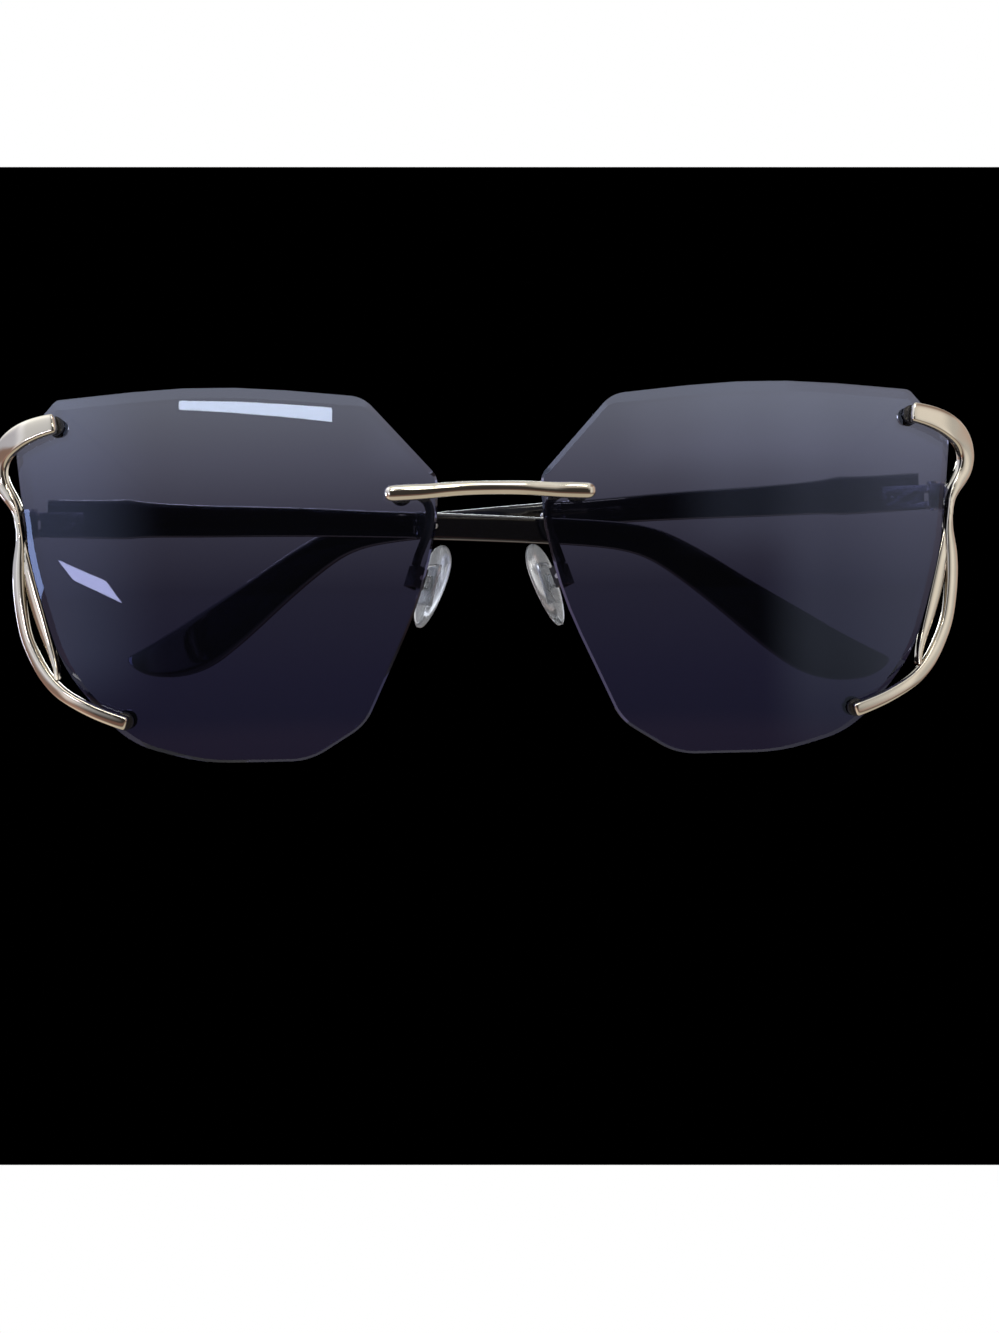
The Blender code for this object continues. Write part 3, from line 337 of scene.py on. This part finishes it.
def lens_inwards(x, z):
    """Level direction from the lens's front to its back."""
    inwards = LENS_MIDDLE - lens_front(x, z)
    inwards.z = 0
    return inwards.normalized()


def lens_place(share_x, share_z):
    """A place on the lens in x and z, from its shares of the width and the height."""
    return LENS_INNER_X + share_x * LENS_WIDTH, share_z * LENS_HEIGHT


def lens_rim():
    """The rim's points in x and z, each corner turned on its own radius."""
    corners = [Vector(lens_place(share_x, share_z)) for share_x, share_z, _ in LENS_CORNER_SHARES]
    rim = []
    for i, corner in enumerate(corners):
        before, after = corners[i - 1] - corner, corners[(i + 1) % len(corners)] - corner
        half = before.angle(after) / 2
        longest_cut = min(before.length, after.length) / 2
        radius = min(LENS_CORNER_SHARES[i][2] * LENS_HEIGHT, longest_cut * math.tan(half))
        before.normalize()
        after.normalize()
        centre = corner + (before + after).normalized() * (radius / math.sin(half))
        arm = corner + before * (radius / math.tan(half)) - centre
        sweep = math.pi - 2 * half
        steps = max(LEAST_CORNER_STEPS, math.ceil(sweep / CORNER_STEP))
        for k in range(steps + 1):
            turn = -sweep * k / steps
            c, s = math.cos(turn), math.sin(turn)
            rim.append(centre + Vector((arm.x * c - arm.y * s, arm.x * s + arm.y * c)))
    return rim


def lens_outline():
    """The rim in short even steps, so that its straight runs follow the lens's curve too."""
    rim, outline = lens_rim(), []
    for p, q in zip(rim, rim[1:] + rim[:1]):
        run = (q - p).length
        steps = math.ceil(run / RIM_STEP) if run > SHORTEST_RUN else 0
        outline += [p.lerp(q, k / steps) for k in range(steps)]
    return outline


def bevel_edge(rim):
    """The rim drawn in by the bevel's width, which is more at the top and on the outer side."""
    edge = []
    for i, point in enumerate(rim):
        along = (rim[(i + 1) % len(rim)] - rim[i - 1]).normalized()
        out = Vector((-along.y, along.x))
        width = EDGE_BEVEL + TOP_BEVEL * max(0, out.y) ** 3 + SIDE_BEVEL * max(0, out.x)
        edge.append(point - out * width)
    return edge


def lens_disc(edge):
    """A disc in rings from its edge to its middle, laid on the lens's front."""
    middle = sum(edge, Vector((0, 0))) / len(edge)
    bpy.ops.object.select_all(action="DESELECT")
    bpy.ops.mesh.primitive_circle_add(vertices=len(edge), radius=LENS_HEIGHT / 2,
                                      fill_type="NOTHING")
    disc = bpy.context.object
    for v, p in zip(disc.data.vertices, edge):
        v.co = (p.x, 0, p.y)
    bpy.ops.object.mode_set(mode="EDIT")
    bpy.ops.mesh.select_mode(type="EDGE")
    bpy.ops.mesh.select_all(action="SELECT")
    for wider, ring in zip(RING_SHARES, RING_SHARES[1:]):
        bpy.ops.mesh.extrude_edges_move()
        bpy.ops.transform.resize(value=(ring / wider,) * 3, center_override=(middle.x, 0, middle.y))
    bpy.ops.mesh.merge(type="CENTER")
    bpy.ops.object.mode_set(mode="OBJECT")
    for v in disc.data.vertices:
        v.co = lens_front(v.co.x, v.co.z)
    return disc


def grind_bevel(lens, edge, rim):
    """One more ring, from the edge out to the rim, set back from the front. It stays selected."""
    bpy.ops.object.mode_set(mode="EDIT")
    bpy.ops.mesh.select_all(action="SELECT")
    bpy.ops.mesh.region_to_loop()
    bpy.ops.mesh.extrude_edges_move()
    bpy.ops.object.mode_set(mode="OBJECT")
    for v in lens.data.vertices:
        if v.select:
            here = Vector((v.co.x, v.co.z))
            nearest = min(range(len(edge)), key=lambda k: (edge[k] - here).length_squared)
            point = rim[nearest]
            v.co = lens_front(*point) + lens_inwards(*point) * BEVEL_DEPTH


def rounded_place(v):
    """The point's place as a key, which an extruded point shares with the one it came from."""
    return tuple(round(c, PLACE_DIGITS) for c in v.co)


def thicken(lens):
    """The front drawn level to the back. The selected ring, which is set back, goes less far."""
    depths = {
        rounded_place(v): LENS_THICKNESS - (BEVEL_DEPTH if v.select else 0)
        for v in lens.data.vertices
    }
    bpy.ops.object.mode_set(mode="EDIT")
    bpy.ops.mesh.select_all(action="SELECT")
    bpy.ops.mesh.extrude_region_move()
    bpy.ops.object.mode_set(mode="OBJECT")
    for v in lens.data.vertices:
        if v.select:
            v.co += lens_inwards(v.co.x, v.co.z) * depths[rounded_place(v)]


def drill(lens, share_x, share_z):
    """A stud's hole, square to the lens's front."""
    seat = lens_front(*lens_place(share_x, share_z))
    aim = (LENS_MIDDLE - seat).to_track_quat("Z", "Y").to_euler()
    bpy.ops.object.select_all(action="DESELECT")
    bpy.ops.mesh.primitive_cylinder_add(vertices=DRILL_SIDES, radius=HOLE_RADIUS,
                                        depth=DRILL_LENGTH, location=seat, rotation=aim)
    bit = bpy.context.object
    finish_modifier(lens, "BOOLEAN", operation="DIFFERENCE", solver="EXACT", object=bit)
    bpy.data.objects.remove(bit)


def ground_lens(name):
    """The wearer's left lens: a curved disc, bevelled round its edge, thickened and drilled."""
    rim = lens_outline()
    edge = bevel_edge(rim)
    lens = lens_disc(edge)
    lens.name = name
    grind_bevel(lens, edge, rim)
    thicken(lens)
    face_outwards(lens)
    for share_x, share_z in STUD_SHARES:
        drill(lens, share_x, share_z)
    pick(lens)
    bpy.ops.object.shade_smooth_by_angle(angle=LENS_CREASE)
    return lens


def other_side(piece, name):
    """A copy for the wearer's right, mirrored across the nose."""
    pick(piece)
    bpy.ops.object.duplicate()
    twin = bpy.context.object
    twin.name = name
    twin.scale = (-1, 1, 1)
    settle(twin)
    face_outwards(twin)
    return twin


left_lens = ground_lens("lens_left_ground")
right_lens = other_side(left_lens, "lens_right_ground")
dress(left_lens, TINT, "front", "lens_left")
dress(right_lens, TINT, "front", "lens_right")


# The other pieces: most are rounded copies, and small or hidden ones are the plain solids

polished_copy("bridge_bar", GOLD, "front")
for side in ("left", "right"):
    temple, pad = "temple_" + side, f"pad_{side}_body"
    polished_copy("endpiece_" + side, GOLD, "front")
    polished_copy("temple_arm_" + side, ACETATE, temple)
    polished_copy("temple_sleeve_" + side, ACETATE, temple)
    polished_copy("nose_pad_" + side, SILICONE, pad, corner=60)
    polished_copy("pad_arm_" + side, LACQUER, "front", corner=50)
    for place in ("upper", "lower", "bridge"):
        polished_copy(f"mount_bush_{side}_{place}", LACQUER, "front", rounds=1)
        polished_copy(f"mount_washer_{side}_{place}", LACQUER, "front", rounds=1)
        polished_copy(f"mount_nut_{side}_{place}", STEEL, "front", rounds=1)
    for rivet in (f"sleeve_rivet_{side}", f"leaf_rivet_{side}_front", f"leaf_rivet_{side}_rear"):
        polished_copy(rivet, STEEL, temple, rounds=1)
    for leaf, body in (("hinge_front_leaf_", "front"), ("hinge_temple_leaf_", temple)):
        polished_copy(leaf + side, GUNMETAL, body, corner=38, ease=LEAF_EASE)
    for node, finish in (("hinge_screw_", STEEL), ("temple_core_", STEEL), ("pad_box_", LACQUER),
                         ("pad_screw_", STEEL), ("pad_insert_", SILICONE)):
        solid = frame["nodes"][node + side]
        solid.data.materials.clear()
        solid.data.materials.append(finish)


# Camera: its focal length in the photograph's own pixels, its place and its turn

PHOTO_WIDTH, PHOTO_HEIGHT = 999, 1333
FOCUS_PIXELS = 2705
SENSOR_HEIGHT_IN_MM = 36
CAMERA_PLACE = Vector((-20.0, -420.41, 13.5)) * MM
CAMERA_YAW, CAMERA_ROLL = math.radians(-3.0), math.radians(-1.05)
NEAREST_SEEN = 10 * MM


def set_camera():
    """The view from which the part lies as it does in the photograph."""
    across = Vector((math.cos(CAMERA_YAW), math.sin(CAMERA_YAW), 0))
    ahead = Vector((-math.sin(CAMERA_YAW), math.cos(CAMERA_YAW), 0))
    up = Vector((0, 0, 1))
    right = across * math.cos(CAMERA_ROLL) + up * math.sin(CAMERA_ROLL)
    top = up * math.cos(CAMERA_ROLL) - across * math.sin(CAMERA_ROLL)
    turn = Matrix((right, top, -ahead)).transposed().to_4x4()
    data = bpy.data.cameras.new("camera")
    data.sensor_fit = "VERTICAL"
    data.sensor_height = SENSOR_HEIGHT_IN_MM
    data.lens = FOCUS_PIXELS / PHOTO_HEIGHT * SENSOR_HEIGHT_IN_MM
    data.clip_start = NEAREST_SEEN
    camera = bpy.data.objects.new("camera", data)
    bpy.context.scene.collection.objects.link(camera)
    camera.matrix_world = Matrix.Translation(CAMERA_PLACE) @ turn
    bpy.context.scene.camera = camera
    return camera


# Studio

# The stage's sheets: sizes and places, and the tones through glass and as light on the pieces
CARD_SIZE, CARD_PLACE = (900 * MM, 500 * MM), (0, 900 * MM, 200 * MM)
MAT_SIZE, MAT_PLACE = (800 * MM, 1340 * MM), (0, 240 * MM, -0.2 * MM)
FLOOR_SIZE, FLOOR_PLACE = (6000 * MM, 6000 * MM), (0, 0, -1 * MM)
UPRIGHT = (math.pi / 2, 0, 0)
BLACK, PALE = 0, 0.8
TONE_THROUGH_GLASS = 0.225
TONE_ON_PIECES = 0.9

# Lit panels outside the picture: four corners in mm, colour and strength
SOFT_BOXES = {
    "ceiling_strip": (
        ((-166.0, -372.4, 193.9), (-25.1, -397.3, 182.3),
         (-165.6, -369.5, 202.0), (-24.9, -393.1, 195.1)),
        (0.93, 0.93, 0.86), 21.0,
    ),
    "window_corner": (
        ((-265.5, -361.2, 38.8), (-222.9, -381.2, 16.4),
         (-277.9, -353.5, 57.4), (-236.7, -375.2, 37.2)),
        (0.88, 0.81, 1.0), 16.0,
    ),
    "ceiling_lamp": (
        ((-120, -430, 330), (90, -430, 330),
         (-120, -350, 420), (90, -350, 420)),
        (1.0, 0.98, 0.94), 8.0,
    ),
    "side_lamp": (
        ((-480, 20, -75), (-480, -140, -75),
         (-480, 20, 70), (-480, -140, 70)),
        (0.58, 0.68, 1.0), 9.0,
    ),
    "back_lamp": (
        ((-90, 230, 75), (30, 230, 75),
         (-90, 230, 105), (30, 230, 105)),
        (0.90, 0.95, 1.0), 8.0,
    ),
}

# The room that the pieces mirror: each part's colour, and where it fades in along X and Z, from
# and to. The directions run from -1 to 1, with X to the right and Z up.
ROOM_DARK = (0.050, 0.044, 0.042)
ROOM_PARTS = {
    "ceiling": ((0.84, 0.87, 0.90), ("Z", 0.24, 0.70), ("X", 0.70, 0.15)),
    "right wall": (
        (0.62, 0.62, 0.62),
        ("X", 0.32, 0.44), ("X", 0.92, 0.78), ("Z", -0.45, -0.10), ("Z", 0.62, 0.32),
    ),
    "right wall, brighter": (
        (0.40, 0.37, 0.35),
        ("X", 0.46, 0.62), ("X", 0.78, 0.66), ("Z", -0.45, -0.10), ("Z", 0.62, 0.32),
    ),
    "far right": ((0.62, 0.50, 0.46), ("X", 0.78, 0.92), ("Z", -0.45, -0.10)),
    "grey strip": ((0.30, 0.31, 0.32), ("X", 0.14, 0.28), ("Z", 0.04, 0.12), ("X", 0.44, 0.32)),
    "below the ceiling": (
        (0.40, 0.37, 0.35),
        ("X", 0.02, 0.14), ("X", 0.60, 0.35), ("Z", 0.20, 0.28), ("Z", 0.55, 0.42),
    ),
    "warm upper right": ((0.30, 0.21, 0.18), ("X", 0.20, 0.60), ("Z", 0.30, 0.60)),
    "cool left": (
        (0.75, 0.80, 0.92), ("X", -0.33, -0.54), ("X", -0.70, -0.60), ("Z", -0.26, -0.10),
    ),
    "warm low left": ((0.28, 0.18, 0.16), ("X", -0.46, -0.60), ("Z", 0.08, -0.04)),
    "cool upper left": ((0.62, 0.66, 0.84), ("X", -0.58, -0.66), ("Z", -0.04, 0.08)),
    "brown band below": ((0.16, 0.075, 0.060), ("Z", -0.24, -0.30), ("Z", -0.46, -0.36)),
    "table": ((0.60, 0.55, 0.47), ("Z", -0.38, -0.56)),
}

# The photograph's white margins: rows of pixels, each a little past the picture's edge
MARGIN_ROWS = {"upper_margin": (-20, 167), "lower_margin": (1165, 1353)}
MARGIN_DISTANCE = 50 * MM
MARGIN_OVERRUN = 1.1


def bare_nodes(tree):
    tree.nodes.clear()
    return tree.nodes, tree.links


def stage_finish(name):
    """A new material with an empty node tree."""
    finish = bpy.data.materials.new(name)
    finish.use_nodes = True
    return finish, *bare_nodes(finish.node_tree)


def toned_finish(name, tone):
    """The tone for the camera and in gloss, but others through glass and as light on the pieces."""
    finish, nodes, links = stage_finish(name)
    path = nodes.new("ShaderNodeLightPath")

    def glow(level):
        shader = nodes.new("ShaderNodeEmission")
        shader.inputs["Color"].default_value = (level, level, level, 1)
        return shader.outputs["Emission"]

    shown = glow(TONE_ON_PIECES)
    for ray, level in (("Is Glossy Ray", tone), ("Is Transmission Ray", TONE_THROUGH_GLASS),
                       ("Is Camera Ray", tone)):
        mix = nodes.new("ShaderNodeMixShader")
        links.new(path.outputs[ray], mix.inputs["Fac"])
        links.new(shown, mix.inputs[1])
        links.new(glow(level), mix.inputs[2])
        shown = mix.outputs["Shader"]
    links.new(shown, nodes.new("ShaderNodeOutputMaterial").inputs["Surface"])
    return finish


def lit_finish(name, colour, strength):
    finish, nodes, links = stage_finish(name)
    light = nodes.new("ShaderNodeEmission")
    light.inputs["Color"].default_value = (*colour, 1)
    light.inputs["Strength"].default_value = strength
    links.new(light.outputs["Emission"], nodes.new("ShaderNodeOutputMaterial").inputs["Surface"])
    return finish


def margin_finish(name):
    """White on its front and clear from behind, so that it hides nothing from the other side."""
    finish, nodes, links = stage_finish(name)
    mix = nodes.new("ShaderNodeMixShader")
    links.new(nodes.new("ShaderNodeNewGeometry").outputs["Backfacing"], mix.inputs["Fac"])
    links.new(nodes.new("ShaderNodeEmission").outputs["Emission"], mix.inputs[1])
    links.new(nodes.new("ShaderNodeBsdfTransparent").outputs["BSDF"], mix.inputs[2])
    links.new(mix.outputs["Shader"], nodes.new("ShaderNodeOutputMaterial").inputs["Surface"])
    return finish


def stage_sheet(name, material, size=(1, 1), location=(0, 0, 0), rotation=(0, 0, 0)):
    bpy.ops.object.select_all(action="DESELECT")
    bpy.ops.mesh.primitive_plane_add(size=1, location=location, rotation=rotation)
    sheet = bpy.context.object
    sheet.name = name
    sheet.scale = (*size, 1)
    settle(sheet)
    sheet.data.materials.append(material)
    return sheet


def set_stage():
    """A black card behind the part and a black mat under it, on a pale floor."""
    stage_sheet("card", toned_finish("black_card", BLACK), CARD_SIZE, CARD_PLACE, UPRIGHT)
    mat = stage_sheet("mat", toned_finish("black_mat", BLACK), MAT_SIZE, MAT_PLACE)
    floor = stage_sheet("floor", toned_finish("pale_floor", PALE), FLOOR_SIZE, FLOOR_PLACE)
    mat.visible_glossy = floor.visible_glossy = False


def soft_box(name, corners, colour, strength):
    """A lit panel that only the lenses and the metal mirror."""
    panel = stage_sheet(name, lit_finish(name, colour, strength))
    for v, corner in zip(panel.data.vertices, corners):
        v.co = Vector(corner) * MM
    panel.visible_camera = panel.visible_transmission = False


def white_margin(camera, name, low, high):
    """A white strip close to the camera, over the rows of the photograph's margin."""
    scale = MARGIN_DISTANCE / FOCUS_PIXELS
    middle = (PHOTO_HEIGHT / 2 - (low + high) / 2) * scale
    place = camera.matrix_world @ Vector((0, middle, -MARGIN_DISTANCE))
    strip = stage_sheet(name, margin_finish(name),
                        (MARGIN_OVERRUN * PHOTO_WIDTH * scale, (high - low) * scale))
    strip.data.transform(Matrix.Translation(place) @ camera.matrix_world.to_3x3().to_4x4())
    for ray in ("diffuse", "glossy", "transmission", "shadow", "volume_scatter"):
        setattr(strip, "visible_" + ray, False)


def set_room():
    """White to the camera, and to the pieces a dim room with light parts."""
    world = bpy.data.worlds.new("room")
    bpy.context.scene.world = world
    world.use_nodes = True
    nodes, links = bare_nodes(world.node_tree)
    axes = nodes.new("ShaderNodeSeparateXYZ")
    links.new(nodes.new("ShaderNodeTexCoord").outputs["Generated"], axes.inputs["Vector"])

    def light(label, colour, *fades):
        """One part of the room, whose strength is the product of its fades."""
        part = nodes.new("ShaderNodeBackground")
        part.label = label
        part.inputs["Color"].default_value = (*colour, 1)
        strength = None
        for axis, start, end in fades:
            step = nodes.new("ShaderNodeMapRange")
            step.interpolation_type = "SMOOTHSTEP"
            step.inputs["From Min"].default_value = start
            step.inputs["From Max"].default_value = end
            links.new(axes.outputs[axis], step.inputs["Value"])
            faded = step.outputs["Result"]
            if strength:
                both = nodes.new("ShaderNodeMath")
                both.operation = "MULTIPLY"
                links.new(strength, both.inputs[0])
                links.new(faded, both.inputs[1])
                faded = both.outputs["Value"]
            strength = faded
        if strength:
            links.new(strength, part.inputs["Strength"])
        return part.outputs["Background"]

    glow = light("dark", ROOM_DARK)
    for label, (colour, *fades) in ROOM_PARTS.items():
        both = nodes.new("ShaderNodeAddShader")
        links.new(glow, both.inputs[0])
        links.new(light(label, colour, *fades), both.inputs[1])
        glow = both.outputs["Shader"]
    mix = nodes.new("ShaderNodeMixShader")
    links.new(nodes.new("ShaderNodeLightPath").outputs["Is Camera Ray"], mix.inputs["Fac"])
    links.new(glow, mix.inputs[1])
    links.new(light("white", (1, 1, 1)), mix.inputs[2])
    links.new(mix.outputs["Shader"], nodes.new("ShaderNodeOutputWorld").inputs["Surface"])


camera = set_camera()
set_room()
set_stage()
for name, box in SOFT_BOXES.items():
    soft_box(name, *box)
for name, rows in MARGIN_ROWS.items():
    white_margin(camera, name, *rows)

bpy.context.scene.view_settings.view_transform = "Standard"
